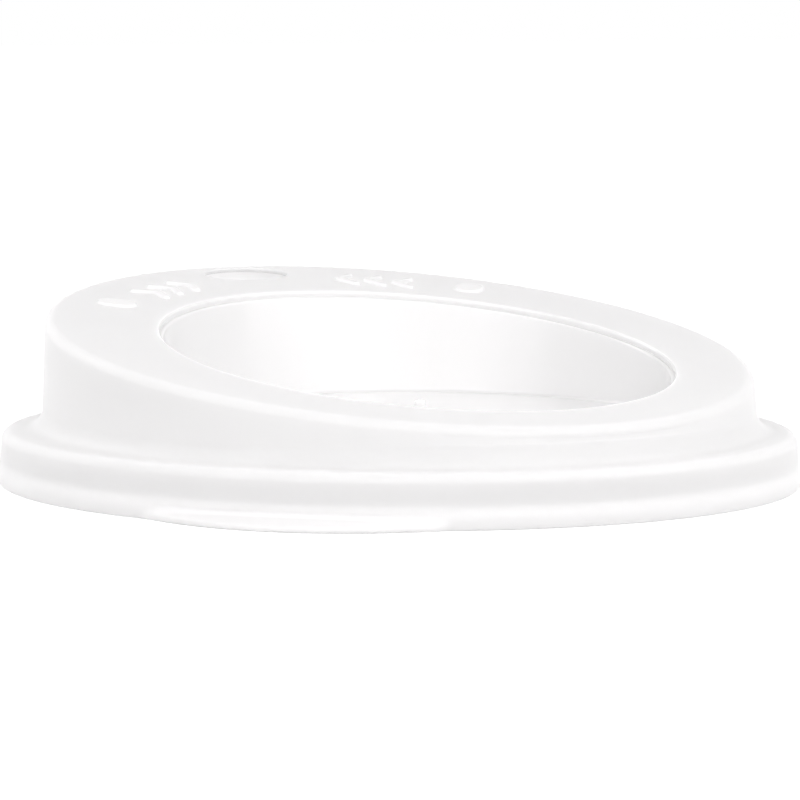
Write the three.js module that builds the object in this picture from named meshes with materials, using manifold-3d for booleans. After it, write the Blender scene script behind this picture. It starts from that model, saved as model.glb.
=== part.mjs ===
// Drink-through lid for a takeaway coffee cup, moulded in one piece. Millimetres, +Z up.
// The bottom edge stands on z = 0, round the Z axis, and the drinking side is towards +Y.
// One thin wall makes every form: a skirt that grips the cup's rolled rim, a level ledge
// that covers the rim, a dome with a slanted top, and a round recess sunk into that top.

import * as THREE from 'three';
import { mergeVertices } from 'three/addons/utils/BufferGeometryUtils.js';
import Module from 'manifold-3d';

const { degToRad, lerp, radToDeg, smoothstep } = THREE.MathUtils;

// Wall
const WALL = 0.5;

// Skirt, outside the cup's rim
const SKIRT_RADIUS = 46.6; // at the bottom edge
const SKIRT_HEIGHT = 6.1; // up to the ledge
const SKIRT_DRAFT = 0.35; // how much narrower it is at the shoulder
const SHOULDER_ROUND = 1.2;
const BOTTOM_ROUND = 0.2;

// Snap bead inside the skirt, which clicks under the cup's rolled rim
const SNAP_HEIGHT = 1.9; // its crest
const SNAP_DEPTH = 0.45;
const SNAP_ROUND = 1;

// Sealing ring under the ledge, which fits just inside the cup's rim
const SEAL_GAP = 3.7; // room for the rolled rim, between this ring and the skirt
const SEAL_WALL = 0.5;
const SEAL_BOTTOM = 2.6; // its free edge
const SEAL_CHAMFER = 0.2;

// Dome
const LEDGE_REACH = 5.1; // from the dome's wall out to the skirt's bottom edge
const DOME_FILLET = 2.5; // where its wall rises from the ledge
const DOME_DRAFT = 0.3;
const DOME_LOW_WALL = 0.45; // straight wall left on the lowest side
const DOME_EDGE_ROUND = 1.1;
const TOP_SLANT = 8.53; // degrees, rising to the drinking side

// Recess in the top
const RECESS_RADIUS = 29.8;
const RECESS_OFFSET = 3.8; // away from the drinking side
const RECESS_LOW_DEPTH = 3.4; // floor below the recess's lowest edge
const RECESS_DRAFT = 10; // degrees that its wall leans out
const RECESS_EDGE_ROUND = 0.3;
const FLOOR_FILLET = 0.5;

// Narrow step round the inside of the recess
const STEP_DEPTH = 0.75;
const STEP_WIDTH = 0.5;
const STEP_ROUND = 0.3;

// Mouth, the hole to drink from
const MOUTH_LENGTH = 11.2; // along the lip
const MOUTH_WIDTH = 6.4;
const MOUTH_MARGIN = 1; // flat left between the mouth and the dome's rounded edge

// Vent pip on the recess floor, which lets air in
const VENT_REACH = 10.4; // from the middle of the recess's edge
const VENT_AZIMUTH = 56; // degrees from +X
const VENT_RADIUS = 0.65;
const VENT_HEIGHT = 0.75;
const VENT_EDGE_ROUND = 0.3;
const VENT_BORE = 0.6; // diameter

// Lift tab, a lip that the skirt's bottom edge flares into
const TAB_AZIMUTH = -137; // degrees from +X
const TAB_HALF_ANGLE = 22; // degrees
const TAB_REACH = 3.3;
const TAB_ROOT = 1.75; // height at which it leaves the skirt
const TAB_EDGE = 0.5; // thickness of its rounded edge
const TAB_SOFTNESS = 1.25; // 1 makes its outline a plain parabola, more softens both ends

// Facets
const AROUND = 64;
const ROUND_STEPS = 4;
const SMALL_ROUND = 1; // a round under this takes half as many steps
const LEAST_ROUND = 0.1; // left on the hollow side of an edge where the wall takes up its round
const MOUTH_STEPS = 32;
const VENT_STEPS = 16;
const CUT_OVERRUN = 1; // how far a cutting form runs past the wall

const SURFACE = { color: 0xf3f3f3, roughness: 0.45, metalness: 0 };

const TOP_SLOPE = Math.tan(degToRad(TOP_SLANT));
const DOME_RADIUS = SKIRT_RADIUS - LEDGE_REACH;
const TOP_RADIUS = DOME_RADIUS - DOME_DRAFT;
const SHOULDER_RADIUS = SKIRT_RADIUS - SKIRT_DRAFT;
const SHOULDER_HEIGHT = SKIRT_HEIGHT - SHOULDER_ROUND;
const DOME_FOOT = SKIRT_HEIGHT + DOME_FILLET;
const TOP_HEIGHT = DOME_FOOT + DOME_LOW_WALL + DOME_EDGE_ROUND + TOP_SLOPE * TOP_RADIUS;
const RECESS_WALL_RADIUS = RECESS_RADIUS - STEP_WIDTH;
const RECESS_LOW_EDGE = TOP_HEIGHT - TOP_SLOPE * (RECESS_OFFSET + RECESS_RADIUS);
const FLOOR_HEIGHT = RECESS_LOW_EDGE - RECESS_LOW_DEPTH;
const RECESS_MIDDLE = TOP_HEIGHT - TOP_SLOPE * RECESS_OFFSET - STEP_DEPTH; // wall's mean top
const RECESS_LEAN = Math.tan(degToRad(RECESS_DRAFT));
const FLOOR_RADIUS = RECESS_WALL_RADIUS - RECESS_LEAN * (RECESS_MIDDLE - FLOOR_HEIGHT);
const FLOOR_OFFSET = RECESS_OFFSET + RECESS_LEAN * TOP_SLOPE * RECESS_WALL_RADIUS;

// The section is a row of rings from the middle of the recess floor, over the top and down
// the outside, then back along the underside. A ring lies level, or parallel to the top.

/** A level circle round the axis through y = centre. */
function levelRing(radius, height, centre = 0, flare = 0) {
  return { radius, height, centre, flare, slope: 0 };
}

/** A circle parallel to the slanted top, by `rise` above it. */
function slantedRing(radius, rise, centre = 0) {
  return { radius, height: TOP_HEIGHT + rise, centre, flare: 0, slope: TOP_SLOPE };
}

/** A slanted circle round the middle of the recess's edge. */
function recessRing(radius, rise) {
  return slantedRing(radius, rise, -RECESS_OFFSET);
}

/** A level circle round the middle of the floor. An even draft moves that off the edge's. */
function floorRing(radius, height) {
  return levelRing(radius, height, -FLOOR_OFFSET);
}

/** Rings along an arc of the section about (radius, height), from one angle to another. */
function roundStretch(makeRing, radius, height, round, fromDegrees, toDegrees) {
  const steps = round < SMALL_ROUND ? ROUND_STEPS / 2 : ROUND_STEPS;
  return Array.from({ length: steps + 1 }, (_, step) => {
    const angle = degToRad(lerp(fromDegrees, toDegrees, step / steps));
    return makeRing(radius + round * Math.cos(angle), height + round * Math.sin(angle));
  });
}

/** A convex edge between a face at a height and an upright face at a radius. */
function edgeRound(makeRing, faceRadius, faceHeight, round) {
  return roundStretch(makeRing, faceRadius - round, faceHeight - round, round, 90, 0);
}

/** The hollow side of such an edge, one wall in from both faces. */
function hollowEdgeRound(makeRing, faceRadius, faceHeight, round) {
  const hollow = Math.max(round - WALL, LEAST_ROUND);
  return edgeRound(makeRing, faceRadius - WALL, faceHeight - WALL, hollow).reverse();
}

/** The recess seen from above: floor, drafted wall, narrow step, and edge of the top. */
function recessTop() {
  const wallTop = -STEP_DEPTH - STEP_ROUND;
  const edge = RECESS_RADIUS + RECESS_EDGE_ROUND;
  const floorInset = FLOOR_RADIUS - FLOOR_FILLET;
  const floorRise = FLOOR_HEIGHT + FLOOR_FILLET;
  return [
    floorRing(0, FLOOR_HEIGHT),
    ...roundStretch(floorRing, floorInset, floorRise, FLOOR_FILLET, -90, -RECESS_DRAFT),
    ...roundStretch(recessRing, RECESS_WALL_RADIUS + STEP_ROUND, wallTop, STEP_ROUND, 180, 90),
    recessRing(RECESS_RADIUS, -STEP_DEPTH),
    ...roundStretch(recessRing, edge, -RECESS_EDGE_ROUND, RECESS_EDGE_ROUND, 180, 90),
  ];
}

/** The outside: the dome's rounded edge, its wall and fillet, the ledge and the shoulder. */
function domeAndShoulder() {
  return [
    ...edgeRound(slantedRing, TOP_RADIUS, 0, DOME_EDGE_ROUND),
    ...roundStretch(levelRing, DOME_RADIUS + DOME_FILLET, DOME_FOOT, DOME_FILLET, 180, 270),
    ...edgeRound(levelRing, SHOULDER_RADIUS, SKIRT_HEIGHT, SHOULDER_ROUND),
  ];
}

/** Outer radius of the drafted skirt at a height. */
function skirtRadius(height) {
  return SKIRT_RADIUS - (SKIRT_DRAFT * height) / SHOULDER_HEIGHT;
}

/** The skirt's foot. Its rings flare out, more and more, where the lift tab is. */
function skirtFoot() {
  const flares = Array.from({ length: ROUND_STEPS + 1 }, (_, step) => {
    const part = step / ROUND_STEPS;
    const height = lerp(TAB_ROOT, TAB_EDGE, part);
    return levelRing(skirtRadius(height), height, 0, smoothstep(part, 0, 1));
  });
  return [
    ...flares,
    levelRing(SKIRT_RADIUS, BOTTOM_ROUND, 0, 1),
    levelRing(SKIRT_RADIUS - BOTTOM_ROUND, 0, 0, 1),
  ];
}

/** The skirt's inner face with its snap bead, up to the underside of the ledge. */
function skirtInside() {
  const behind = SNAP_ROUND - SNAP_DEPTH;
  const centre = skirtRadius(SNAP_HEIGHT) - WALL + behind;
  const spread = radToDeg(Math.acos(behind / SNAP_ROUND));
  return [
    levelRing(SKIRT_RADIUS - WALL, 0),
    ...roundStretch(levelRing, centre, SNAP_HEIGHT, SNAP_ROUND, 180 + spread, 180 - spread),
    ...hollowEdgeRound(levelRing, SHOULDER_RADIUS, SKIRT_HEIGHT, SHOULDER_ROUND),
  ];
}

/** The fillet's hollow side, with the sealing ring that hangs from it. */
function sealAndFillet() {
  const centre = DOME_RADIUS + DOME_FILLET;
  const round = DOME_FILLET + WALL;
  const outer = SKIRT_RADIUS - WALL - SEAL_GAP;
  const inner = outer - SEAL_WALL;
  const angleAt = (radius) => 180 + radToDeg(Math.acos((centre - radius) / round));
  return [
    ...roundStretch(levelRing, centre, DOME_FOOT, round, 270, angleAt(outer)),
    levelRing(outer, SEAL_BOTTOM + SEAL_CHAMFER),
    levelRing(outer - SEAL_CHAMFER, SEAL_BOTTOM),
    levelRing(inner, SEAL_BOTTOM),
    ...roundStretch(levelRing, centre, DOME_FOOT, round, angleAt(inner), 180),
  ];
}

/** The underside of the dome, its slanted top and the recess, one wall from the outside. */
function hollowSide() {
  const floorInset = FLOOR_RADIUS - FLOOR_FILLET;
  const floorRise = FLOOR_HEIGHT + FLOOR_FILLET;
  const floorRound = FLOOR_FILLET + WALL;
  return [
    ...hollowEdgeRound(slantedRing, TOP_RADIUS, 0, DOME_EDGE_ROUND),
    recessRing(RECESS_RADIUS + WALL, -WALL),
    recessRing(RECESS_RADIUS + WALL, -STEP_DEPTH - WALL / 2),
    recessRing(RECESS_WALL_RADIUS + WALL, -STEP_DEPTH - WALL),
    ...roundStretch(floorRing, floorInset, floorRise, floorRound, -RECESS_DRAFT, -90),
    floorRing(0, FLOOR_HEIGHT - WALL),
  ];
}

/** How far the tab reaches out at an azimuth: a flat lens, soft at both ends. */
function tabReach(azimuth) {
  const turn = radToDeg(azimuth) - TAB_AZIMUTH;
  const away = (turn - 360 * Math.round(turn / 360)) / TAB_HALF_ANGLE;
  return TAB_REACH * Math.max(0, 1 - away * away) ** TAB_SOFTNESS;
}

function pointOnRing(ring, azimuth) {
  const radius = ring.radius + ring.flare * tabReach(azimuth);
  const y = ring.centre + radius * Math.sin(azimuth);
  return [radius * Math.cos(azimuth), y, ring.height + ring.slope * y];
}

/** Skins a row of rings whose first and last are single points on an axis. */
function loft(rings) {
  const inner = rings.slice(1, -1);
  const azimuths = Array.from({ length: AROUND }, (_, i) => (2 * Math.PI * i) / AROUND);
  const body = inner.flatMap((ring) => azimuths.flatMap((azimuth) => pointOnRing(ring, azimuth)));
  const positions = [...pointOnRing(rings[0], 0), ...body, ...pointOnRing(rings.at(-1), 0)];
  const last = inner.length * AROUND + 1;
  const at = (ring, i) => 1 + ring * AROUND + (i % AROUND);
  const faces = [];
  for (let i = 0; i < AROUND; i += 1) {
    faces.push(0, at(0, i), at(0, i + 1));
    for (let ring = 0; ring < inner.length - 1; ring += 1) {
      faces.push(at(ring, i), at(ring + 1, i), at(ring + 1, i + 1));
      faces.push(at(ring, i), at(ring + 1, i + 1), at(ring, i + 1));
    }
    faces.push(at(inner.length - 1, i), last, at(inner.length - 1, i + 1));
  }
  const geometry = new THREE.BufferGeometry();
  geometry.setAttribute('position', new THREE.Float32BufferAttribute(positions, 3));
  geometry.setIndex(faces);
  return geometry;
}

/** The whole wall, before it is pierced. */
function shell() {
  const upper = [...recessTop(), ...domeAndShoulder(), ...skirtFoot()];
  return loft([...upper, ...skirtInside(), ...sealAndFillet(), ...hollowSide()]);
}

/** An oval plug square to the slanted top, where the mouth goes through it. */
function mouthPlug() {
  const outline = new THREE.Shape();
  outline.absellipse(0, 0, MOUTH_LENGTH / 2, MOUTH_WIDTH / 2, 0, 2 * Math.PI);
  const depth = 2 * (WALL + CUT_OVERRUN);
  const plug = new THREE.ExtrudeGeometry(outline, {
    depth,
    bevelEnabled: false,
    curveSegments: MOUTH_STEPS,
  });
  const y = TOP_RADIUS - DOME_EDGE_ROUND - MOUTH_MARGIN - MOUTH_WIDTH / 2;
  plug.translate(0, 0, -depth / 2);
  plug.rotateX(degToRad(TOP_SLANT));
  plug.translate(0, y, TOP_HEIGHT + TOP_SLOPE * y);
  return plug;
}

/** Moves a turned piece from the axis to the vent's place on the recess floor. */
function toVent(geometry) {
  const azimuth = degToRad(VENT_AZIMUTH);
  const x = VENT_REACH * Math.cos(azimuth);
  const y = VENT_REACH * Math.sin(azimuth) - RECESS_OFFSET;
  geometry.rotateX(Math.PI / 2);
  return geometry.translate(x, y, FLOOR_HEIGHT);
}

/** The pip round the vent, sunk half a wall into the floor. */
function ventPip() {
  const sunk = -WALL / 2;
  const rim = edgeRound(levelRing, VENT_RADIUS, VENT_HEIGHT, VENT_EDGE_ROUND).reverse();
  const profile = [
    new THREE.Vector2(0, sunk),
    new THREE.Vector2(VENT_RADIUS, sunk),
    ...rim.map((ring) => new THREE.Vector2(ring.radius, ring.height)),
    new THREE.Vector2(0, VENT_HEIGHT),
  ];
  return toVent(new THREE.LatheGeometry(profile, VENT_STEPS));
}

/** A pin through the pip and the floor. */
function ventBore() {
  const length = 2 * (VENT_HEIGHT + WALL + CUT_OVERRUN);
  return toVent(new THREE.CylinderGeometry(VENT_BORE / 2, VENT_BORE / 2, length, VENT_STEPS));
}

const wasm = await Module();
wasm.setup();

/** Turns a closed geometry into a solid that can be cut and joined. */
function toSolid(geometry) {
  const bare = geometry.clone();
  bare.deleteAttribute('normal');
  bare.deleteAttribute('uv');
  const merged = mergeVertices(bare, 1e-5);
  return new wasm.Manifold(
    new wasm.Mesh({
      numProp: 3,
      vertProperties: new Float32Array(merged.attributes.position.array),
      triVerts: new Uint32Array(merged.index.array),
    }),
  );
}

/** Turns a solid back into a geometry. */
function toGeometry(solid) {
  const mesh = solid.getMesh();
  const geometry = new THREE.BufferGeometry();
  geometry.setAttribute('position', new THREE.BufferAttribute(mesh.vertProperties, 3));
  geometry.setIndex(new THREE.BufferAttribute(mesh.triVerts, 1));
  geometry.computeVertexNormals();
  return geometry;
}

function makeLid() {
  const pierced = toSolid(shell()).subtract(toSolid(mouthPlug()));
  const vented = pierced.add(toSolid(ventPip())).subtract(toSolid(ventBore()));
  const lid = new THREE.Mesh(toGeometry(vented), new THREE.MeshStandardMaterial(SURFACE));
  lid.name = 'lid';
  return lid;
}

const part = new THREE.Group();
part.add(makeLid());

export default part;
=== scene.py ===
"""Looks for a drink-through lid of a takeaway coffee cup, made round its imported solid.

Run as a script in Blender 4.5. Lengths are metres in the solid's own frame: the bottom edge
stands on z = 0 round the Z axis, and the drinking side is towards +Y.
"""

import math

import bmesh
import bpy
import numpy as np
from bpy.props import FloatProperty, FloatVectorProperty, IntProperty, PointerProperty
from mathutils import Matrix, Vector


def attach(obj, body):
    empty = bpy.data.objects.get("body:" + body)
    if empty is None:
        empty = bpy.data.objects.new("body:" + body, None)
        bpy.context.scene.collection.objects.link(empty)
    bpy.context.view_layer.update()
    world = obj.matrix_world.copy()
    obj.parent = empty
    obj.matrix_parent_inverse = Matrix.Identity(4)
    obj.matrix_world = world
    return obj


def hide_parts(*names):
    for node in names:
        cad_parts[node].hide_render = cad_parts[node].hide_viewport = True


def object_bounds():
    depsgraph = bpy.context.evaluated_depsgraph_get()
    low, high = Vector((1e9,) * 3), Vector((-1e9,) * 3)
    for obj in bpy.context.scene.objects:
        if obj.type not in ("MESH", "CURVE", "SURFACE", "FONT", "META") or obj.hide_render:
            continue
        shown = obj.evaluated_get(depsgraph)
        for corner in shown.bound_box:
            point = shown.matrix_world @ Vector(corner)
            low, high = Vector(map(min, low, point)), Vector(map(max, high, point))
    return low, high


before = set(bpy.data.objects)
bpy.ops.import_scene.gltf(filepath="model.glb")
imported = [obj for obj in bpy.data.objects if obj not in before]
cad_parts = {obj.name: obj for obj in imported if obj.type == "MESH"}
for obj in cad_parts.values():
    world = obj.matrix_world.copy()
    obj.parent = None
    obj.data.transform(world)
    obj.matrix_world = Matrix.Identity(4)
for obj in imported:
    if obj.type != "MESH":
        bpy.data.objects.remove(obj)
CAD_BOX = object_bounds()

bl_info = {
    "name": "Takeaway cup lid",
    "version": (1, 0, 0),
    "blender": (4, 5, 0),
    "location": "View3D > Sidebar > Cup Lid",
    "description": "Builds a drink-through coffee cup lid, its raised marks and a pale stage",
    "category": "Add Mesh",
}

MM = 0.001

# Grid of the wall: columns round the axis and rows along the section, windows for the holes
COLUMNS = 360
AZIMUTHS = np.linspace(0, 2 * math.pi, COLUMNS, endpoint=False)
FINE_ARC = 10  # steps of an arc
SMALL_ARC = 6
FLOOR_ARC = 8
BOTTOM_ARC = 4
SEAL_ARC = 5
MOUTH_ARC = 5
VENT_ARC = 6
EDGE_ARC = 12
DOME_ARC = 14
TAB_STEPS = 12
TOP_PARTS = (0.008, 0.06, 0.12, 0.18, 0.24, 0.3, 0.36, 0.42, 0.48, 0.54)
TOP_PARTS += (0.6, 0.66, 0.72, 0.78, 0.84, 0.9, 0.95, 0.992)
MOUTH_ROWS = (6, 17)  # the window's first and last row among those of the top
MOUTH_COLUMNS = (77, 103)
FLOOR_RADII = (3 * MM, 7 * MM, 9.9 * MM, 10.3 * MM, 10.7 * MM, 11.05 * MM, 11.4 * MM, 11.8 * MM)
FLOOR_RADII += (12.2 * MM, 16 * MM, 20 * MM, 24 * MM, 26.5 * MM)
VENT_ROWS = (2, 8)
VENT_COLUMNS = (52, 64)
PERIMETER_BLEND = (0.3, 0.6, 0.84, 0.97)

# Sizes of the wall that are the same on every such lid
BOTTOM_ROUND = 0.2 * MM
SNAP_HEIGHT = 1.9 * MM
SNAP_DEPTH = 0.45 * MM
SNAP_ROUND = 1 * MM
SEAL_GAP = 3.7 * MM
SEAL_WALL = 0.5 * MM
SEAL_BOTTOM = 2.6 * MM
SEAL_CHAMFER = 0.2 * MM
DOME_DRAFT = 0.3 * MM
RECESS_EDGE_ROUND = 0.3 * MM
FLOOR_FILLET = 0.5 * MM
STEP_DEPTH = 0.75 * MM
STEP_ROUND = 0.3 * MM
MOUTH_EDGE_ROUND = 0.16 * MM
VENT_RADIUS = 0.65 * MM
VENT_HEIGHT = 0.75 * MM
VENT_ROUND = 0.3 * MM
VENT_FOOT = 0.15 * MM
VENT_BORE = 0.3 * MM  # radius
TAB_EDGE = 0.5 * MM
TAB_SOFTNESS = 1.25
LEAST_ROUND = 0.1 * MM
MERGE = 0.0005 * MM

# Raised marks
MARK_CAP = 9  # points of a round end
MARK_BEND = 5
MARK_ARC = 4
MARK_FLAT = 0.03 * MM  # from the edge's round to the next row on the flat
MARK_FLARE = 0.1 * MM
MARK_ROUND = 0.22 * MM
MARK_SUNK = 0.03 * MM

# Finish
PLASTIC_IOR = 1.5
GRAIN = (5200.0, 3.0, 0.6)  # waves a metre, detail and roughness of the noise
CLOUD = (90.0, 2.0, 0.5)
WAVE = (110.0, 1.0, 0.4)  # of the polished surface
GRAIN_ROUGHNESS = 0.08  # how much the grain changes the roughness
CLOUD_RANGE = (0.35, 0.75)  # noise at which the shade starts and is full
GRAIN_DEPTH = 0.004 * MM
WAVE_DEPTH = 0.02 * MM
CLOUD_SHADE = 0.012
LIP_PAINTED_SHADE = 0.25  # painted shade: how much darker the lift tab's lip, where the lamps fall on it, is made
LIP_FADE = 1.2 * MM  # width over which it gets as dark
SCATTER = 4 * MM  # how far light spreads inside the plastic
SCATTER_SHARE = 0.9
RECESS_SHARE = 0.5  # part of that share in the recess
POLISH_EDGE = 0.3 * MM  # width over which the polish and the recess's painted shade fade out
SIDE_NAME = "inside"
# a small darker spot on the ledge
SPOT_TONE = 0.95
SPOT_AZIMUTH = -142.0
SPOT_REACH = 43.75 * MM
SPOT_RADIUS = 0.26 * MM

# Stage
WHITE = (1.0, 1.0, 1.0, 1.0)
BLACK = (0.0, 0.0, 0.0, 1.0)
SQUARE = ((-1, -1), (1, -1), (1, 1), (-1, 1))
FLOOR_SIDE = 4.0
FLOOR_DROP = 0.01 * MM
FLOOR_SHADE = 0.8
FLOOR_SHADOW = 0.3
FLOOR_GLOW = 0.96
LAMP_TINT = (1.0, 0.984, 0.989)
LAMP_DISTANCE = 0.6
LIGHT_MOST = 100.0  # highest level that the sidebar takes
LAMP_UNIT = 4.0  # watts a square metre that make a lamp's face render as 1
LAMPS = {  # azimuth from +X and elevation in degrees, then width and height
    "left": (-167.0, 33.0, 0.34, 0.36),
    "front": (-122.5, 33.0, 0.65, 0.36),
    "right": (-63.0, 32.0, 0.72, 0.38),
    "back": (108.0, 32.0, 0.17, 0.3),
    "backdrop": (68.0, 8.0, 1.1, 0.16),
    "left_fill": (175.0, 42.0, 0.3, 0.3),
    "right_fill": (-8.0, 42.0, 0.3, 0.3),
}
FILL_LAMPS = ("backdrop", "left_fill", "right_fill")  # without a reflection
CAMERA_DISTANCE = 0.52
CAMERA_AZIMUTH = -122.0
CAMERA_ELEVATION = 5.95
CAMERA_TARGET_HEIGHT = 8 * MM
CAMERA_ROLL = 0.0057
CAMERA_LENS = 200.87
CAMERA_SENSOR = 36.0
CAMERA_CLIP = (0.01, 20.0)
CAMERA_SHIFT = (0.00033, 0.01414)


def length(name, description, millimetres):
    """A length that the sidebar shows, with its default in millimetres."""
    return FloatProperty(
        name=name,
        description=description,
        default=millimetres * MM,
        min=0.0,
        precision=5,
        subtype="DISTANCE",
        unit="LENGTH",
    )


def angle(name, description, degrees):
    """An angle that the sidebar shows, with its default in degrees."""
    return FloatProperty(
        name=name,
        description=description,
        default=math.radians(degrees),
        subtype="ANGLE",
        unit="ROTATION",
    )


def share(name, description, default, most=1.0):
    """A plain number from 0 up that the sidebar shows."""
    return FloatProperty(name=name, description=description, default=default, min=0.0, max=most)


def grey(name, description, level):
    """A colour that the sidebar shows, with a grey as its default."""
    return FloatVectorProperty(
        name=name,
        description=description,
        subtype="COLOR",
        default=(level, level, level),
        min=0.0,
        max=1.0,
    )


class LidSizes(bpy.types.PropertyGroup):
    """Sizes of the wall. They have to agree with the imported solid."""

    wall: length("Wall", "Thickness of the moulded wall", 0.5)
    skirt_radius: length("Skirt radius", "Outer radius of the skirt's foot", CAD_BOX[1].x / MM)
    skirt_height: length("Skirt height", "Height of the ledge that covers the rim", 6.1)
    skirt_draft: length("Skirt draft", "How much narrower the skirt is at its shoulder", 0.35)
    shoulder_round: length("Shoulder round", "Radius of the skirt's upper edge", 1.2)
    ledge_reach: length("Ledge reach", "From the dome's wall out to the skirt's edge", 5.1)
    dome_fillet: length("Dome fillet", "Radius where the dome rises from the ledge", 2.5)
    dome_low_wall: length("Lowest wall", "Straight dome wall on its lowest side", 0.45)
    dome_edge_round: length("Dome edge round", "Radius of the dome's upper edge", 1.1)
    top_slant: angle("Top slant", "How much the top rises to the drinking side", 8.53)
    recess_radius: length("Recess radius", "Radius of the recess at the top", 29.8)
    recess_offset: length("Recess offset", "How far it lies from the drinking side", 3.8)
    recess_low_depth: length("Recess depth", "Floor below the recess's lowest edge", 3.4)
    recess_draft: angle("Recess draft", "How much the recess's wall leans out", 10.0)
    step_width: length("Step width", "Width of the step inside the recess", 0.5)
    mouth_length: length("Mouth length", "Length of the hole to drink from", 11.2)
    mouth_width: length("Mouth width", "Width of the hole to drink from", 6.4)
    mouth_margin: length("Mouth margin", "Flat between the mouth and the dome's edge", 1.0)
    vent_reach: length("Vent reach", "From the middle of the recess to the vent", 10.4)
    vent_azimuth: angle("Vent azimuth", "Where the vent stands, from +X", 56.0)
    tab_azimuth: angle("Tab azimuth", "Where the lift tab stands, from +X", -137.0)
    tab_half_angle: angle("Tab half angle", "Half the angle that the lift tab takes", 22.0)
    tab_reach: length("Tab reach", "How far the lift tab stands out", 3.3)
    tab_root: length("Tab root", "Height at which the tab leaves the skirt", 1.75)


class MarkSizes(bpy.types.PropertyGroup):
    """Sizes of the raised marks on the top, at both sides of the mouth."""

    height: length("Height", "How far the marks stand up", 0.28)
    stroke: length("Stroke", "Width of a chevron's stroke", 0.95)
    reach: length("Reach", "From the dome's axis to the chevrons", 32.6)
    span: length("Span", "Length of a chevron across the ring", 4.4)
    depth: length("Depth", "How far a chevron's point stands out", 1.7)
    first: angle("First", "The nearest chevron's turn from the mouth", 18.5)
    pitch: angle("Pitch", "The turn from one chevron to the next", 6.2)
    count: IntProperty(name="Count", description="Chevrons on each side", default=3, min=1)
    pad_turn: angle("Pad turn", "The oval pad's turn from the mouth", 46.5)
    pad_reach: length("Pad reach", "From the dome's axis to the oval pad", 34.0)
    pad_length: length("Pad length", "Length of the oval pad", 4.7)
    pad_width: length("Pad width", "Width of the oval pad", 3.2)


class LidFinish(bpy.types.PropertyGroup):
    """Colour and gloss of the moulded plastic, and the level of the light."""

    colour: grey("Colour", "Colour of the plastic", 0.95)
    # painted shade: the recess gets a darker colour than the outside; part of the gap makes up for
    # its smaller scatter, the rest holds down the light that falls in it
    recess_shaded_colour: grey("Polished colour", "Colour where the mould is polished", 0.8)
    # painted light: the inside gets a paler colour than the outside, so that it looks lit through
    # the wall
    inside_colour: grey("Inside colour", "Colour of the inside, lit through the wall", 0.98)
    mark_colour: grey("Mark colour", "Colour of the raised marks", 0.76)
    satin: share("Satin roughness", "Roughness of the textured outside", 0.56)
    gloss: share("Gloss roughness", "Roughness of the polished recess", 0.16)
    sky: share("Sky", "Strength of the light from all round", 0.23, LIGHT_MOST)
    table: share("Table", "Strength of the pale table's own glow", 0.135, LIGHT_MOST)
    left: share("Left lamp", "Brightness of the lamp at the left", 1.58, LIGHT_MOST)
    front: share("Front lamp", "Brightness of the lamp at the front", 1.67, LIGHT_MOST)
    right: share("Right lamp", "Brightness of the large lamp at the right", 1.94, LIGHT_MOST)
    back: share("Back lamp", "Brightness of the small lamp behind", 2.2, LIGHT_MOST)
    backdrop: share("Backdrop", "Brightness of the low backdrop behind", 5.0, LIGHT_MOST)
    left_fill: share("Left fill", "Brightness of the fill lamp at the left", 2.6, LIGHT_MOST)
    right_fill: share("Right fill", "Brightness of the fill lamp at the right", 2.3, LIGHT_MOST)


class Form:
    """What follows from the set sizes, worked out as the solid's own source does."""

    def __init__(self, sizes):
        self.sizes = sizes
        self.slope = math.tan(sizes.top_slant)
        self.dome_radius = sizes.skirt_radius - sizes.ledge_reach
        self.top_radius = self.dome_radius - DOME_DRAFT
        self.shoulder_radius = sizes.skirt_radius - sizes.skirt_draft
        self.shoulder_height = sizes.skirt_height - sizes.shoulder_round
        self.dome_foot = sizes.skirt_height + sizes.dome_fillet
        low_side = self.dome_foot + sizes.dome_low_wall + sizes.dome_edge_round
        self.top_height = low_side + self.slope * self.top_radius
        self.recess_wall = sizes.recess_radius - sizes.step_width
        low_edge = self.top_height - self.slope * (sizes.recess_offset + sizes.recess_radius)
        self.floor_height = low_edge - sizes.recess_low_depth
        middle = self.top_height - self.slope * sizes.recess_offset - STEP_DEPTH
        lean = math.tan(sizes.recess_draft)
        self.floor_radius = self.recess_wall - lean * (middle - self.floor_height)
        self.floor_offset = sizes.recess_offset + lean * self.slope * self.recess_wall

    def row(self, radius, height, centre=0.0, slope=0.0, flare=0.0):
        """A circle about y = centre, raised by slope times y and flared by the tab's reach."""
        reach = radius + flare * self.tab_reach()
        y = centre + reach * np.sin(AZIMUTHS)
        return np.stack((reach * np.cos(AZIMUTHS), y, height + slope * y), axis=-1)

    def tab_reach(self):
        """The tab's outline, (1 - (turn / half angle) squared) to a power, round the axis."""
        turn = (AZIMUTHS - self.sizes.tab_azimuth + math.pi) % (2 * math.pi) - math.pi
        away = turn / self.sizes.tab_half_angle
        return self.sizes.tab_reach * np.maximum(0.0, 1.0 - away * away) ** TAB_SOFTNESS

    def level(self, radius, height):
        """A level circle round the Z axis."""
        return self.row(radius, height)

    def slanted(self, radius, rise):
        """A circle parallel to the slanted top."""
        return self.row(radius, self.top_height + rise, slope=self.slope)

    def recess(self, radius, rise):
        """A slanted circle round the middle of the recess's edge."""
        centre = -self.sizes.recess_offset
        return self.row(radius, self.top_height + rise, centre, self.slope)

    def floor(self, radius, height):
        """A level circle round the middle of the recess's floor."""
        return self.row(radius, height, -self.floor_offset)

    def skirt(self, height):
        """Outer radius of the drafted skirt at a height."""
        return self.sizes.skirt_radius - self.sizes.skirt_draft * height / self.shoulder_height


def arc(row, radius, height, bend, start, end, steps=FINE_ARC):
    """Rows along an arc of the section: the centre plus bend times (cos, sin) of the angle."""
    angles = np.radians(np.linspace(start, end, steps + 1))
    return np.stack([row(radius + bend * math.cos(a), height + bend * math.sin(a)) for a in angles])


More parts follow.
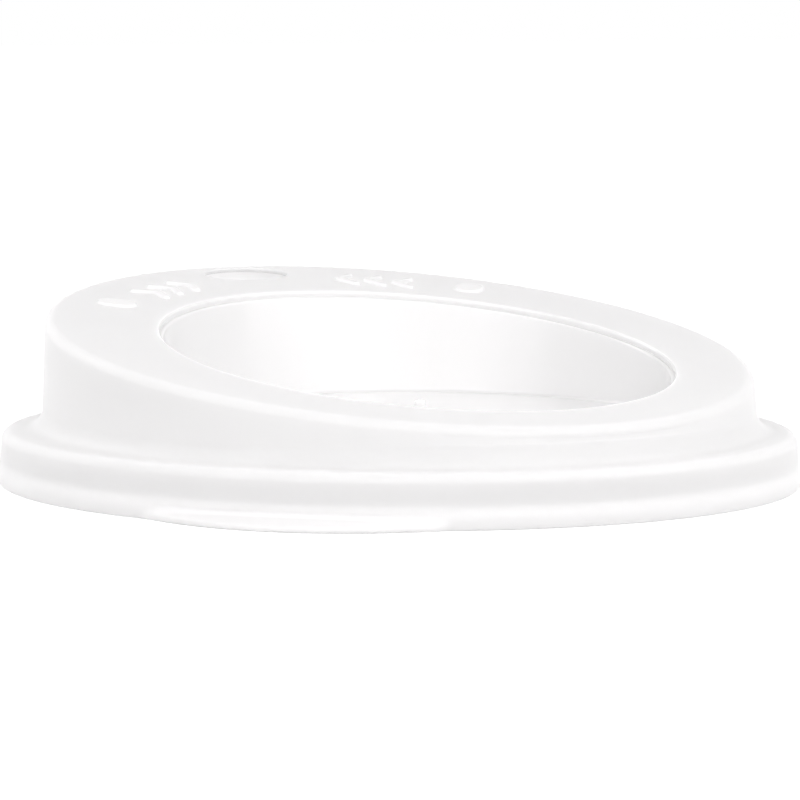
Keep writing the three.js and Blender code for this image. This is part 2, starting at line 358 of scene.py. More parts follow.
def edge(row, radius, height, bend, steps=FINE_ARC):
    """Rows over a convex edge between a face at a height and an upright face at a radius."""
    return arc(row, radius - bend, height - bend, bend, 90, 0, steps)


def hollow_edge(row, radius, height, bend, wall):
    """The hollow side of such an edge, one wall in, from the upright face to the level one."""
    hollow = max(bend - wall, LEAST_ROUND)
    return edge(row, radius - wall, height - wall, hollow, SMALL_ARC)[::-1]


def spread(first, last, parts):
    """Rows between two rows: first plus each part of the way to last."""
    return first + (last - first) * np.reshape(parts, (-1, 1, 1))


def even(count, margin):
    """Parts of the way: a number of them at equal steps, and one a margin from each end."""
    inner = np.linspace(0, 1, count + 2)[1:-1]
    return np.concatenate(([margin], inner, [1 - margin]))


class Wall:
    """Grows the closed skin of the lid as one grid of rows by columns."""

    def __init__(self):
        self.rows = []
        self.marks = {}

    def add(self, rows, name=None):
        """Adds one row or several, and keeps the number of the first under a name."""
        rows = np.reshape(rows, (-1, COLUMNS, 3))
        if name:
            self.marks[name] = sum(len(r) for r in self.rows)
        self.rows.append(rows)

    def join(self, rows, parts, name=None):
        """Adds rows that lead from the last one to the first of these, and then these."""
        rows = np.reshape(rows, (-1, COLUMNS, 3))
        self.add(spread(self.rows[-1][-1], rows[0], parts), name)
        self.add(rows)

    def grid(self):
        """All rows as one array, rows by columns by coordinates, cut off at the CAD's top."""
        points = np.concatenate(self.rows)
        points[..., 2] = np.minimum(points[..., 2], CAD_BOX[1].z)
        return points


def add_recess(wall, form):
    """The recess from above: level floor, drafted wall, narrow step and the top's edge."""
    sizes = form.sizes
    inset = form.floor_radius - FLOOR_FILLET
    rise = form.floor_height + FLOOR_FILLET
    draft = math.degrees(sizes.recess_draft)
    wall.add(np.stack([form.floor(r, form.floor_height) for r in FLOOR_RADII]), "floor")
    wall.join(arc(form.floor, inset, rise, FLOOR_FILLET, -90, -draft, FLOOR_ARC), (0.9,))
    reach = form.recess_wall + STEP_ROUND
    depth = STEP_DEPTH + STEP_ROUND
    wall.join(arc(form.recess, reach, -depth, STEP_ROUND, 180, 90, SMALL_ARC), even(5, 0.03))
    wall.join(form.recess(sizes.recess_radius, -STEP_DEPTH), (0.5, 0.9))
    bend = RECESS_EDGE_ROUND
    reach = sizes.recess_radius + bend
    wall.join(arc(form.recess, reach, -bend, bend, 180, 90, FLOOR_ARC), (0.1, 0.9))


def add_outside(wall, form):
    """The top's ring, the dome's rounded edge, wall and fillet, the ledge and the shoulder."""
    sizes = form.sizes
    rim = edge(form.slanted, form.top_radius, 0, sizes.dome_edge_round, EDGE_ARC)
    wall.join(rim, TOP_PARTS, "top")
    bend = sizes.dome_fillet
    middle = form.dome_radius + bend
    fillet = arc(form.level, middle, form.dome_foot, bend, 180, 270, DOME_ARC)
    wall.join(fillet, even(8, 0.02))
    bend = sizes.shoulder_round
    shoulder = edge(form.level, form.shoulder_radius, sizes.skirt_height, bend, EDGE_ARC)
    wall.join(shoulder, even(1, 0.06))


def add_foot(wall, form):
    """The skirt down to its bottom edge. Its rows flare out, more and more, at the tab."""
    sizes = form.sizes
    parts = np.linspace(0, 1, TAB_STEPS + 1)
    flares = parts * parts * (3 - 2 * parts)
    heights = sizes.tab_root + (TAB_EDGE - sizes.tab_root) * parts
    foot = [form.row(form.skirt(z), z, flare=f) for z, f in zip(heights, flares)]
    wall.join(np.stack(foot), even(4, 0.03))
    outer = sizes.skirt_radius - BOTTOM_ROUND
    angles = np.radians(np.linspace(0, -90, BOTTOM_ARC + 1))
    rounds = [
        form.row(outer + BOTTOM_ROUND * math.cos(a), BOTTOM_ROUND * (1 + math.sin(a)), flare=1)
        for a in angles
    ]
    wall.add(np.stack(rounds))


def add_inside(wall, form):
    """Up the inside: snap bead, ledge's underside and the sealing ring on the fillet."""
    sizes = form.sizes
    behind = SNAP_ROUND - SNAP_DEPTH
    centre = form.skirt(SNAP_HEIGHT) - sizes.wall + behind
    turn = math.degrees(math.acos(behind / SNAP_ROUND))
    wall.join(form.level(sizes.skirt_radius - sizes.wall, 0), even(1, 0.04), "inside")
    wall.join(arc(form.level, centre, SNAP_HEIGHT, SNAP_ROUND, 180 + turn, 180 - turn), (0.5,))
    bend = sizes.shoulder_round
    under_edge = hollow_edge(form.level, form.shoulder_radius, sizes.skirt_height, bend, sizes.wall)
    wall.join(under_edge, even(0, 0.05))
    middle = form.dome_radius + sizes.dome_fillet
    bend = sizes.dome_fillet + sizes.wall
    outer = sizes.skirt_radius - sizes.wall - SEAL_GAP
    inner = outer - SEAL_WALL

    def turn_at(radius):
        """The fillet's angle at a radius."""
        return 180 + math.degrees(math.acos((middle - radius) / bend))

    foot = arc(form.level, middle, form.dome_foot, bend, 270, turn_at(outer), SEAL_ARC)
    wall.join(foot, even(0, 0.05))
    wall.join(form.level(outer, SEAL_BOTTOM + SEAL_CHAMFER), even(1, 0.02))
    wall.add(form.level(outer - SEAL_CHAMFER, SEAL_BOTTOM))
    wall.add(form.level(inner, SEAL_BOTTOM))
    rest = arc(form.level, middle, form.dome_foot, bend, turn_at(inner), 180, FLOOR_ARC)
    wall.join(rest, even(1, 0.02))


def add_underside(wall, form):
    """The underside of the dome, its top and the recess, one wall from the outside."""
    sizes = form.sizes
    bend = sizes.dome_edge_round
    under_edge = hollow_edge(form.slanted, form.top_radius, 0, bend, sizes.wall)
    wall.join(under_edge, even(4, 0.02))
    outer = sizes.recess_radius + sizes.wall
    parts = 1 - np.array(TOP_PARTS[::-1])
    wall.join(form.recess(outer, -sizes.wall), parts, "under top")
    wall.join(form.recess(outer, -STEP_DEPTH - sizes.wall / 2), even(0, 0.05))
    wall.add(form.recess(form.recess_wall + sizes.wall, -STEP_DEPTH - sizes.wall))
    inset = form.floor_radius - FLOOR_FILLET
    rise = form.floor_height + FLOOR_FILLET
    draft = math.degrees(sizes.recess_draft)
    fillet = arc(form.floor, inset, rise, FLOOR_FILLET + sizes.wall, -draft, -90, FLOOR_ARC)
    wall.join(fillet, even(4, 0.03))
    height = form.floor_height - sizes.wall
    wall.add(np.stack([form.floor(r, height) for r in FLOOR_RADII[::-1]]), "under floor")


class Hole:
    """A hole through two windows of the grid, one on the outside and one on the underside.

    Its rows lead from the outer window's rim over the hole's edge to the inner one's rim.
    A point of such a row is the hole's centre plus ((a + offset) cos, (b + offset) sin) on
    the face and a rise square to it.
    """

    def __init__(self, top, bottom, columns, centre, slant, half_sizes, path):
        self.top = top
        self.bottom = bottom
        self.columns = columns
        self.centre = np.array(centre)
        self.along = np.array((0.0, math.cos(slant), math.sin(slant)))
        self.up = np.array((0.0, -math.sin(slant), math.cos(slant)))
        self.half_sizes = half_sizes
        self.path = path

    def rim(self, first, last):
        """Numbers of the grid's vertices round a window, from its first row."""
        left, right = self.columns
        across = np.arange(left, right)
        turn = 1 if last > first else -1
        along = np.arange(first, last, turn)
        rows = np.concatenate(
            (np.full(len(across), first), along, np.full(len(across), last), along[::-1] + turn)
        )
        columns = np.concatenate(
            (across, np.full(len(along), right), across[::-1] + 1, np.full(len(along), left))
        )
        return rows * COLUMNS + columns

    def rows(self, points, outer, inner):
        """The hole's own vertices, row by row, for the rims with these numbers."""
        offset = points[outer] - self.centre
        u, v = offset[:, 0], offset @ self.along
        a, b = self.half_sizes
        turn = np.arctan2(v / b, u / a)
        rings = [self.ring(turn, out, rise) for out, rise in self.path]
        blends = np.reshape(PERIMETER_BLEND, (-1, 1, 1))
        first = points[outer] + (rings[0] - points[outer]) * blends
        last = rings[-1] + (points[inner] - rings[-1]) * (1 - blends[::-1])
        return np.concatenate((first, np.stack(rings), last))

    def ring(self, turn, out, rise):
        """One row at an offset from the hole's outline and a rise over the face."""
        a, b = self.half_sizes
        x = (a + out) * np.cos(turn)[:, None] * np.array((1.0, 0.0, 0.0))
        y = (b + out) * np.sin(turn)[:, None] * self.along
        return self.centre + x + y + rise * self.up


def mouth_hole(wall, form):
    """The oval mouth, with both of its edges rounded."""
    sizes = form.sizes
    half = sizes.mouth_width / 2
    y = form.top_radius - sizes.dome_edge_round - sizes.mouth_margin - half
    centre = (0.0, y, form.top_height + form.slope * y)
    bend = MOUTH_EDGE_ROUND
    depth = sizes.wall * math.cos(sizes.top_slant)
    turns = np.radians(np.linspace(90, 0, MOUTH_ARC + 1))
    top = [(bend * (1 - math.cos(t)), -bend * (1 - math.sin(t))) for t in turns]
    low = [(out, -depth - rise) for out, rise in top[::-1]]
    first, last = (wall.marks["top"] + n for n in MOUTH_ROWS)
    under = wall.marks["under top"] + len(TOP_PARTS) - 1
    bottom = (under - MOUTH_ROWS[0], under - MOUTH_ROWS[1])
    halves = (sizes.mouth_length / 2, half)
    return Hole((first, last), bottom, MOUTH_COLUMNS, centre, sizes.top_slant, halves, top + low)


def vent_hole(wall, form):
    """The vent: a low pip with a foot, a rounded edge and a fine bore through it."""
    sizes = form.sizes
    x = sizes.vent_reach * math.cos(sizes.vent_azimuth)
    y = sizes.vent_reach * math.sin(sizes.vent_azimuth) - sizes.recess_offset
    side = VENT_RADIUS - VENT_BORE
    turns = np.radians(np.linspace(0, 90, VENT_ARC + 1))
    foot = [
        (side + VENT_FOOT * (1 - math.sin(t)), VENT_FOOT * (1 - math.cos(t))) for t in turns[:-1]
    ]
    flat = side - VENT_ROUND
    rim = [
        (flat + VENT_ROUND * math.cos(t), VENT_HEIGHT - VENT_ROUND * (1 - math.sin(t)))
        for t in turns
    ]
    bore = [(0.0, VENT_HEIGHT - flat), (0.0, -sizes.wall)]
    first, last = (wall.marks["floor"] + n for n in VENT_ROWS)
    under = wall.marks["under floor"] + len(FLOOR_RADII) - 1
    bottom = (under - VENT_ROWS[0], under - VENT_ROWS[1])
    centre = (x, y, form.floor_height)
    halves = (VENT_BORE, VENT_BORE)
    path = foot + [(side, VENT_FOOT)] + rim + bore
    return Hole((first, last), bottom, VENT_COLUMNS, centre, 0.0, halves, path)


def quads_between(first, second):
    """Faces between two closed rows of vertex numbers, joined at their ends."""
    return np.stack(
        (first, second, np.roll(second, -1, axis=-1), np.roll(first, -1, axis=-1)), axis=-1
    ).reshape(-1, 4)


def pierced_skin(wall, poles, holes):
    """Vertices, quads and triangles of the grid, with its windows led through the wall.

    The last result is 0 for each vertex of the outside and 1 for each of the inside.
    """
    grid = wall.grid()
    rows = len(grid)
    points = grid.reshape(-1, 3)
    numbers = np.arange(rows * COLUMNS).reshape(rows, COLUMNS)
    kept = np.ones((rows - 1, COLUMNS), bool)
    parts = [points]
    sides = [np.repeat(np.arange(rows) >= wall.marks["inside"], COLUMNS)]
    strips = []
    count = len(points)
    for hole in holes:
        for first, last in (hole.top, hole.bottom):
            low, high = sorted((first, last))
            kept[low:high, hole.columns[0] : hole.columns[1]] = False
        outer, inner = hole.rim(*hole.top), hole.rim(*hole.bottom)
        own = hole.rows(points, outer, inner)
        ids = count + np.arange(own.shape[0] * own.shape[1]).reshape(own.shape[:2])
        ids = np.concatenate((outer[None], ids, inner[None]))
        strips.append(quads_between(ids[:-1], ids[1:]))
        parts.append(own.reshape(-1, 3))
        sides.append(np.repeat(np.arange(len(own)) > len(own) / 2, own.shape[1]))
        count += own.shape[0] * own.shape[1]
    quads = quads_between(numbers[:-1], numbers[1:])[kept.ravel()]
    ends = np.array(poles)
    top = np.stack((np.full(COLUMNS, count), numbers[0], np.roll(numbers[0], -1)), axis=-1)
    low = np.stack((np.full(COLUMNS, count + 1), np.roll(numbers[-1], -1), numbers[-1]), axis=-1)
    points = np.concatenate((*parts, ends))
    sides = np.concatenate((*sides, (False, True))).astype(np.float32)
    return points, [np.concatenate((quads, *strips)), np.concatenate((top, low))], sides


def new_piece(name, points, face_sets, material, sides=None):
    """A smooth-shaded mesh object at the origin, without the vertices that no face uses.

    Its sides are kept as an attribute: 1 where the plastic faces inwards.
    """
    used = np.unique(np.concatenate([faces.ravel() for faces in face_sets]))
    places = np.zeros(len(points), int)
    places[used] = np.arange(len(used))
    mesh = bpy.data.meshes.new(name)
    faces = [face for part in face_sets for face in places[part].tolist()]
    mesh.from_pydata(points[used].tolist(), [], faces)
    mesh.shade_smooth()
    mesh.materials.append(material)
    if sides is not None:
        mesh.attributes.new(SIDE_NAME, "FLOAT", "POINT").data.foreach_set("value", sides[used])
    piece = bpy.data.objects.new(name, mesh)
    bpy.context.scene.collection.objects.link(piece)
    return piece


class Shader:
    """Adds nodes to one material's tree."""

    def __init__(self, tree):
        self.tree = tree

    def node(self, kind, settings=None, **sockets):
        """A node of a type: its settings first, then the values or links of its sockets."""
        made = self.tree.nodes.new(kind)
        for name, value in (settings or {}).items():
            setattr(made, name, value)
        for name, value in sockets.items():
            self.feed(made, name, value)
        return made

    def feed(self, node, name, value):
        """Sets or links a socket, by its name with _ for a space, or by in and its number."""
        number = name[2:]
        if name.startswith("in") and number.isdigit():
            socket = node.inputs[int(number)]
        else:
            socket = node.inputs[name.replace("_", " ")]
        if isinstance(value, Value):
            value = value.socket
        if isinstance(value, bpy.types.NodeSocket):
            self.tree.links.new(value, socket)
        else:
            socket.default_value = value

    def value(self, socket):
        """A socket that arithmetic can be written on."""
        return Value(self, socket)


class Value:
    """A number in a shader. Arithmetic on it adds Math nodes."""

    def __init__(self, shader, socket):
        self.shader = shader
        self.socket = socket

    def math(self, operation, *others):
        """A Math node of this number and others, in that order."""
        sockets = {f"in{n}": other for n, other in enumerate((self, *others))}
        node = self.shader.node("ShaderNodeMath", {"operation": operation}, **sockets)
        return Value(self.shader, node.outputs[0])

    def flipped(self, operation, other):
        """A Math node with another number first and this one second."""
        node = self.shader.node("ShaderNodeMath", {"operation": operation}, in0=other, in1=self)
        return Value(self.shader, node.outputs[0])

    def __add__(self, other):
        return self.math("ADD", other)

    def __radd__(self, other):
        return self.flipped("ADD", other)

    def __sub__(self, other):
        return self.math("SUBTRACT", other)

    def __rsub__(self, other):
        return self.flipped("SUBTRACT", other)

    def __mul__(self, other):
        return self.math("MULTIPLY", other)

    def __rmul__(self, other):
        return self.flipped("MULTIPLY", other)

    def step(self, start, end):
        """0 up to start, 1 from end, and a smooth rise between them."""
        node = self.shader.node(
            "ShaderNodeMapRange",
            {"interpolation_type": "SMOOTHSTEP"},
            Value=self,
            From_Min=start,
            From_Max=end,
        )
        return Value(self.shader, node.outputs[0])


def empty_shader(owner):
    """The shader of a new material or world, without the nodes that it comes with."""
    owner.use_nodes = True
    owner.node_tree.nodes.clear()
    return Shader(owner.node_tree)


def plastic(finish, form, name, colour, scatter):
    """Moulded white plastic: satin outside with a fine grain, and polished in the recess.

    It is polished on the inside too, and light spreads in it by the scatter's share. Its colour
    also carries painted light and shade: the inside is paler, so that it looks lit through the
    wall, the recess is darker, to hold down the light that falls in it, and the tab's lip is darker
    where the lamps fall on it.
    """
    material = bpy.data.materials.new(name)
    shader = empty_shader(material)
    place = shader.node("ShaderNodeTexCoord").outputs["Object"]
    grain = noise(shader, place, *GRAIN)
    cloud = noise(shader, place, *CLOUD).step(*CLOUD_RANGE)
    wave = noise(shader, place, *WAVE)
    inside = shader.node("ShaderNodeAttribute", {"attribute_name": SIDE_NAME})
    inside = shader.value(inside.outputs["Fac"])
    recess = recess_mask(shader, place, form, inside)
    polished = recess.math("MAXIMUM", inside)
    # random mottling of the plastic, plus painted shade on the tab's lip where the lamps fall
    mottle_and_lip_shade = cloud * CLOUD_SHADE + lip_painted_shade_mask(shader, place, form) * LIP_PAINTED_SHADE
    # painted light: the inside takes the paler colour
    tone = mixed(shader, inside, (*colour, 1.0), (*finish.inside_colour, 1.0))
    spot = small_spot_mask(shader, place, form)
    tone = mixed(shader, spot, tone, (*(SPOT_TONE * c for c in colour), 1.0))
    tone = mixed(shader, mottle_and_lip_shade, tone, BLACK)
    satin = finish.satin + (grain - 0.5) * GRAIN_ROUGHNESS
    rough = satin + polished * (finish.gloss - satin)
    height = (1 - polished) * grain * GRAIN_DEPTH + polished * wave * WAVE_DEPTH
    bump = shader.node("ShaderNodeBump", Strength=1.0, Distance=1.0, Height=height)
    plain = coat(shader, tone, rough, bump, scatter)
    # the recess's coat: polished, with painted shade in its darker colour
    recess_shaded_coat = coat(shader, (*finish.recess_shaded_colour, 1.0), rough, bump, RECESS_SHARE * scatter)
    surface = shader.node("ShaderNodeMixShader", in0=recess, in1=plain, in2=recess_shaded_coat)
    shader.node("ShaderNodeOutputMaterial", Surface=surface.outputs[0])
    return material


def mixed(shader, part, first, second):
    """The first colour with a part of the second one over it."""
    mix = shader.node("ShaderNodeMix", {"data_type": "RGBA"}, in0=part, in6=first, in7=second)
    return mix.outputs[2]


def coat(shader, tone, rough, bump, scatter):
    """A plastic surface of a tone and roughness, in which part of the light spreads."""
    made = shader.node(
        "ShaderNodeBsdfPrincipled",
        Base_Color=tone,
        Roughness=rough,
        Normal=bump.outputs[0],
        IOR=PLASTIC_IOR,
        Subsurface_Weight=scatter,
        Subsurface_Radius=(1.0, 1.0, 1.0),
        Subsurface_Scale=SCATTER,
    )
    return made.outputs[0]


def noise(shader, place, scale, detail, roughness):
    """Noise in the piece's own coordinates, with its scale in waves per metre."""
    node = shader.node(
        "ShaderNodeTexNoise",
        {"noise_dimensions": "3D"},
        Vector=place,
        Scale=scale,
        Detail=detail,
        Roughness=roughness,
    )
    return shader.value(node.outputs["Fac"])


def apart(shader, place, point):
    """Distance of a coordinate from a point."""
    node = shader.node("ShaderNodeVectorMath", {"operation": "DISTANCE"}, in0=place, in1=point)
    return shader.value(node.outputs["Value"])


def axis_distance(shader, place, offset):
    """Distance of a coordinate from an upright axis through y = offset."""
    flat = shader.node(
        "ShaderNodeVectorMath", {"operation": "MULTIPLY"}, in0=place, in1=(1.0, 1.0, 0.0)
    )
    return apart(shader, flat.outputs[0], (0.0, offset, 0.0))


def lip_painted_shade_mask(shader, place, form):
    """1 on the lift tab's lip, which is all that stands out past the skirt, and 0 elsewhere. It
    places the painted shade that darkens the brightly lit lip.
    """
    radius = form.sizes.skirt_radius
    return axis_distance(shader, place, 0.0).step(radius, radius + LIP_FADE)


def recess_mask(shader, place, form, inside):
    """1 on the recess seen from above, from the distance to its axis, and 0 elsewhere."""
    reach = axis_distance(shader, place, -form.sizes.recess_offset)
    radius = form.sizes.recess_radius
    outer = 1 - reach.step(radius, radius + POLISH_EDGE)
    return outer * (1 - inside)


def small_spot_mask(shader, place, form):
    """1 on a small darker spot on the ledge, and 0 elsewhere."""
    turn = math.radians(SPOT_AZIMUTH)
    point = (SPOT_REACH * math.cos(turn), SPOT_REACH * math.sin(turn), form.sizes.skirt_height)
    return 1 - apart(shader, place, point).step(SPOT_RADIUS * 0.5, SPOT_RADIUS)


class LID_OT_shell(bpy.types.Operator):
    """Builds the one-piece wall of the lid in place of its plain solid"""

    bl_idname = "cup_lid.shell"
    bl_label = "Build Shell"

    def execute(self, context):
        form = Form(context.scene.lid_sizes)
        wall = Wall()
        add_recess(wall, form)
        add_outside(wall, form)
        add_foot(wall, form)
        add_inside(wall, form)
        add_underside(wall, form)
        middle = -form.floor_offset
        poles = ((0, middle, form.floor_height), (0, middle, form.floor_height - form.sizes.wall))
        holes = (mouth_hole(wall, form), vent_hole(wall, form))
        points, faces, sides = pierced_skin(wall, poles, holes)
        finish = context.scene.lid_finish
        material = plastic(finish, form, "moulded_white_plastic", finish.colour, SCATTER_SHARE)
        shell = new_piece("lid_shell", points, faces, material, sides)
        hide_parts("lid")
        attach(shell, "root")
        return {"FINISHED"}


class Outline:
    """A flat shape with round ends: all points within a half width of a bent line.

    At a half width w its outline is base + w times out: half circles at both ends, an arc
    at the outside of the bend and one mitred point at its inside.
    """

    def __init__(self, points):
        points = np.array(points, float)
        headings = np.arctan2(*np.diff(points, axis=0).T[::-1])
        first, last = headings[0], headings[-1]
        caps = np.linspace(math.pi / 2, 3 * math.pi / 2, MARK_CAP)
        stretches = [(points[0], first + caps, 1.0), (points[-1], last + caps - math.pi, 1.0)]
        if len(points) == 3:
            bend = last - first
            side = math.copysign(math.pi / 2, bend)
            round_side = (points[1], np.linspace(first, last, MARK_BEND) - side, 1.0)
            mitre = (points[1], np.array([first + side + bend / 2]), 1 / math.cos(bend / 2))
            near, far = (mitre, round_side) if bend < 0 else (round_side, mitre)
            stretches.insert(1, near)
            stretches.append((far[0], far[1][::-1], far[2]))
        bases, outs = [], []
        for base, turns, size in stretches:
            bases.append(np.tile(base, (len(turns), 1)))
            outs.append(size * np.stack((np.cos(turns), np.sin(turns)), axis=-1))
        self.base, self.out = np.concatenate(bases), np.concatenate(outs)

    def rows(self, half_width, profile):
        """The outline at each (inset, rise) of a profile, as rows of flat points and rises."""
        insets, rises = np.array(profile).T[:, :, None, None]
        flat = self.base + np.maximum(half_width - insets, 0.0) * self.out
        rises = np.broadcast_to(rises, (*flat.shape[:2], 1))
        return np.concatenate((flat, rises), axis=-1)


def mark_profile(marks, half_width):
    """Section of a mark from its sunk middle to the middle of its flat top, inset by rise."""
    turns = np.radians(np.linspace(0, 90, MARK_ARC + 1))
    low = marks.height - MARK_ROUND
    return [
        (half_width, -MARK_SUNK),
        (-MARK_FLARE, -MARK_SUNK),
        *[(-MARK_FLARE * (1 - math.sin(t)), MARK_FLARE * (1 - math.cos(t))) for t in turns],
        *[(MARK_ROUND * (1 - math.cos(t)), low + MARK_ROUND * math.sin(t)) for t in turns],
        (MARK_ROUND + MARK_FLAT, marks.height),
        (half_width, marks.height),
    ]


def on_top(form, turn, reach, rows):
    """Flat rows laid on the slanted top, at a turn from the mouth and a reach from the axis.

    Their first coordinate then points away from the axis, and their second towards +X where
    the turn is to +X.
    """
    away = math.pi / 2 - turn
    out = np.array((math.cos(away), math.sin(away)))
    along = math.copysign(1.0, turn) * np.array((math.sin(away), -math.cos(away)))
    flat = reach * out + rows[..., :1] * out + rows[..., 1:2] * along
    height = form.top_height + form.slope * flat[..., 1:] + rows[..., 2:]
    return np.concatenate((flat, height), axis=-1)


def closed_skin(rows, start, flip):
    """Faces of a row-by-row skin whose first and last rows fall together."""
    ids = start + np.arange(rows.shape[0] * rows.shape[1]).reshape(rows.shape[:2])
    faces = quads_between(ids[:-1], ids[1:])
    return faces[:, ::-1] if flip else faces


def grip_marks(marks, form):
    """Rows of every raised mark: chevrons that point to the mouth, and an oval pad."""
    half = marks.stroke / 2
    chevron = Outline(
        ((-marks.span / 2, marks.depth), (0.0, 0.0), (marks.span / 2, marks.depth))
    ).rows(half, mark_profile(marks, half))
    pad_half = marks.pad_width / 2
    run = marks.pad_length / 2 - pad_half
    pad = Outline(((-run, 0.0), (run, 0.0))).rows(pad_half, mark_profile(marks, pad_half))
    made = []
    for side in (-1.0, 1.0):
        for number in range(marks.count):
            turn = marks.first + marks.pitch * number
            made.append((on_top(form, side * turn, marks.reach, chevron), side < 0))
        made.append((on_top(form, side * marks.pad_turn, marks.pad_reach, pad), side < 0))
    return made


class LID_OT_marks(bpy.types.Operator):
    """Builds the raised marks on both sides of the mouth"""

    bl_idname = "cup_lid.marks"
    bl_label = "Build Raised Marks"

    def execute(self, context):
        form = Form(context.scene.lid_sizes)
        points, faces, count = [], [], 0
        for rows, flip in grip_marks(context.scene.lid_marks, form):
            faces.append(closed_skin(rows, count, flip))
            points.append(rows.reshape(-1, 3))
            count += rows.shape[0] * rows.shape[1]
        finish = context.scene.lid_finish
        material = plastic(finish, form, "raised_mark_plastic", finish.mark_colour, 0.0)
        piece = new_piece("raised_marks", np.concatenate(points), faces, material)
        weld(piece)
        piece.visible_shadow = False  # it would show from beneath, through the thin wall
        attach(piece, "root")
        return {"FINISHED"}


def weld(piece):
    """Merges the points that fall together and turns all faces outwards."""
    work = bmesh.new()
    work.from_mesh(piece.data)
    bmesh.ops.remove_doubles(work, verts=work.verts, dist=MERGE)
    bmesh.ops.recalc_face_normals(work, faces=work.faces)
    work.to_mesh(piece.data)
    work.free()


def add_camera(scene):
    """A long lens at the photograph's angle, aimed a little above the lid's foot."""
    data = bpy.data.cameras.new("camera")
    camera = bpy.data.objects.new("camera", data)
    scene.collection.objects.link(camera)
    place = CAMERA_DISTANCE * polar(CAMERA_AZIMUTH, CAMERA_ELEVATION)
    target = Vector((0.0, 0.0, CAMERA_TARGET_HEIGHT))
    camera.location = target + place
    aim = (-place).to_track_quat("-Z", "Y").to_matrix()
    camera.matrix_world = Matrix.LocRotScale(
        camera.location, aim @ Matrix.Rotation(CAMERA_ROLL, 3, "Z"), None
    )
    data.lens = CAMERA_LENS
    data.sensor_width = CAMERA_SENSOR
    data.shift_x, data.shift_y = CAMERA_SHIFT
    data.clip_start, data.clip_end = CAMERA_CLIP
    scene.camera = camera


def polar(azimuth, elevation):
    """The unit direction at an azimuth from +X and an elevation, in degrees."""
    a, e = math.radians(azimuth), math.radians(elevation)
    return Vector((math.cos(a) * math.cos(e), math.sin(a) * math.cos(e), math.sin(e)))


def add_lamp(scene, name, level):
    """A soft rectangular lamp that faces the lid, whose face is as bright as its level."""
    azimuth, elevation, *size = LAMPS[name]
    data = bpy.data.lights.new(name, "AREA")
    data.shape = "RECTANGLE"
    data.size, data.size_y = size
    data.energy = level * LAMP_UNIT * size[0] * size[1]
    data.color = LAMP_TINT
    lamp = bpy.data.objects.new(name, data)
    scene.collection.objects.link(lamp)
    place = LAMP_DISTANCE * polar(azimuth, elevation)
    lamp.location = place
    lamp.rotation_mode = "QUATERNION"
    lamp.rotation_quaternion = (-place).to_track_quat("-Z", "Y")
    lamp.visible_camera = False
    lamp.visible_glossy = name not in FILL_LAMPS


def white_rays(shader):
    """1 for the rays that show the white background: the camera's and the glossy ones."""
    path = shader.node("ShaderNodeLightPath")
    glossy = path.outputs["Is Glossy Ray"]
    return shader.value(path.outputs["Is Camera Ray"]).math("MAXIMUM", glossy)


def set_world(scene, level):
    """Even light from all round, which the camera sees as white."""
    world = bpy.data.worlds.new("pale_room")
    scene.world = world
    shader = empty_shader(world)
    seen = white_rays(shader)
    strength = level + seen * (1.0 - level)
    light = shader.node("ShaderNodeBackground", Color=WHITE, Strength=strength)
    shader.node("ShaderNodeOutputWorld", Surface=light.outputs[0])


def lit_surface(shader, shade, level):
    """A matt grey surface with a glow of its own."""
    matt = shader.node("ShaderNodeBsdfDiffuse", Color=(shade, shade, shade, 1.0))
    glow = shader.node("ShaderNodeEmission", Color=WHITE, Strength=level)
    both = shader.node("ShaderNodeAddShader", in0=matt.outputs[0], in1=glow.outputs[0])
    return both.outputs[0]


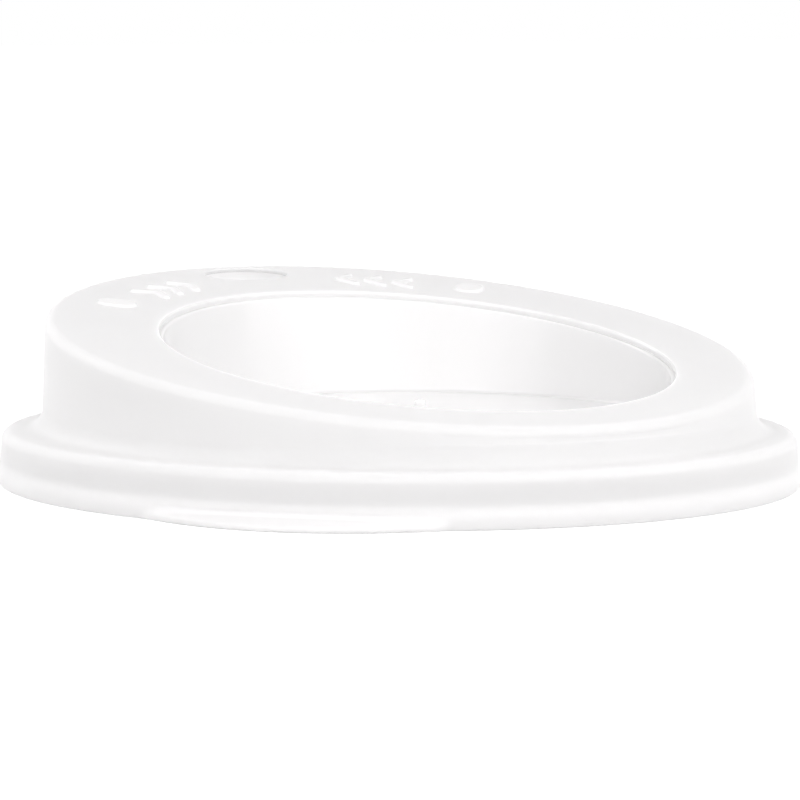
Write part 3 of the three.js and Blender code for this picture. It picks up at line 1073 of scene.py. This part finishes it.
def floor_material(level):
    """A pale lit table that the camera sees as white, with a little shadow left in it."""
    material = bpy.data.materials.new("white_sweep")
    shader = empty_shader(material)
    seen = white_rays(shader)
    table = lit_surface(shader, FLOOR_SHADE, level)
    sweep = lit_surface(shader, FLOOR_SHADOW, FLOOR_GLOW)
    mix = shader.node("ShaderNodeMixShader", in0=seen, in1=table, in2=sweep)
    shader.node("ShaderNodeOutputMaterial", Surface=mix.outputs[0])
    return material


class LID_OT_stage(bpy.types.Operator):
    """Sets the white floor, the soft lamps, the room's even light and the camera"""

    bl_idname = "cup_lid.stage"
    bl_label = "Set Stage"

    def execute(self, context):
        scene = context.scene
        finish = scene.lid_finish
        side = FLOOR_SIDE / 2
        corners = np.array([(x * side, y * side, -FLOOR_DROP) for x, y in SQUARE])
        face = [np.array(((0, 1, 2, 3),))]
        floor = new_piece("floor", corners, face, floor_material(finish.table))
        for name in LAMPS:
            add_lamp(scene, name, getattr(finish, name))
        set_world(scene, finish.sky)
        add_camera(scene)
        scene.view_settings.view_transform = "Standard"
        return {"FINISHED"}


class LID_PT_panel(bpy.types.Panel):
    """Lists the lid's builders and its sizes"""

    bl_idname = "LID_PT_panel"
    bl_label = "Cup Lid"
    bl_space_type = "VIEW_3D"
    bl_region_type = "UI"
    bl_category = "Cup Lid"

    def draw(self, context):
        for operator in OPERATORS:
            self.layout.operator(operator.bl_idname)
        for name in PROPERTIES:
            group = getattr(context.scene, name)
            box = self.layout.box()
            for setting in group.bl_rna.properties:
                if setting.identifier not in ("name", "rna_type"):
                    box.prop(group, setting.identifier)


PROPERTIES = {"lid_sizes": LidSizes, "lid_marks": MarkSizes, "lid_finish": LidFinish}
OPERATORS = (LID_OT_shell, LID_OT_marks, LID_OT_stage)
CLASSES = (*PROPERTIES.values(), *OPERATORS, LID_PT_panel)


def register():
    """Registers the classes and hangs the property groups on the scene."""
    for made in CLASSES:
        bpy.utils.register_class(made)
    for name, group in PROPERTIES.items():
        setattr(bpy.types.Scene, name, PointerProperty(type=group))


def unregister():
    """Takes the property groups and the classes away again."""
    for name in PROPERTIES:
        delattr(bpy.types.Scene, name)
    for made in reversed(CLASSES):
        bpy.utils.unregister_class(made)


def main():
    """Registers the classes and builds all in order."""
    register()
    bpy.ops.cup_lid.shell()
    bpy.ops.cup_lid.marks()
    bpy.ops.cup_lid.stage()


if __name__ == "__main__":
    main()
